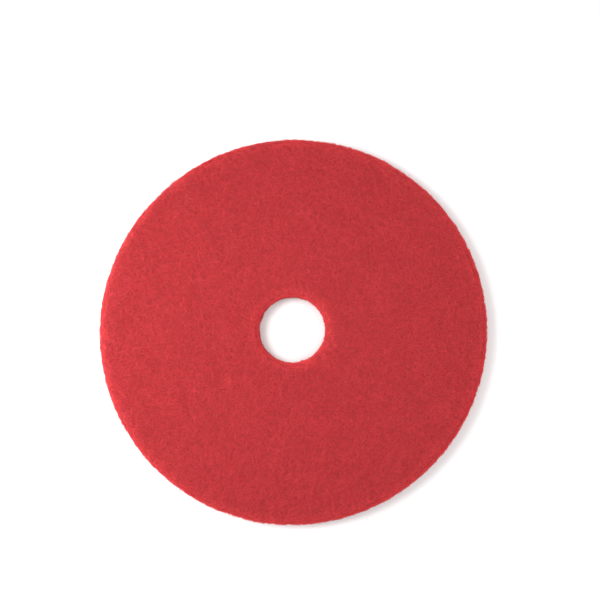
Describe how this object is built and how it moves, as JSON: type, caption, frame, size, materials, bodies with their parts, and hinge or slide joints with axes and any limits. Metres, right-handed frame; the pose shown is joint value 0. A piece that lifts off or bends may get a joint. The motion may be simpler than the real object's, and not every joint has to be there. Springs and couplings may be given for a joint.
{
  "type": "floor buffing pad",
  "caption": "Round red floor-buffing pad of open non-woven fibre web, with a centre hole for the pad holder's lock; both faces work.",
  "frame": {"origin": "centre of the lower face, on the pad's axis, in the plane it rests on", "axes": "+Z along the pad's axis, from the lower face to the upper face; X and Y are free because the pad is round"},
  "size_m": [0.4825, 0.4826, 0.0254],
  "materials": {
    "face_web": "matt red fibre web, dense with resin and fine mineral",
    "core_web": "matt red fibre web, open and springy"
  },
  "bodies": {
    "root": {"lower_face_layer": "face_web", "core_web": "core_web", "upper_face_layer": "face_web"}
  },
  "joints": []
}
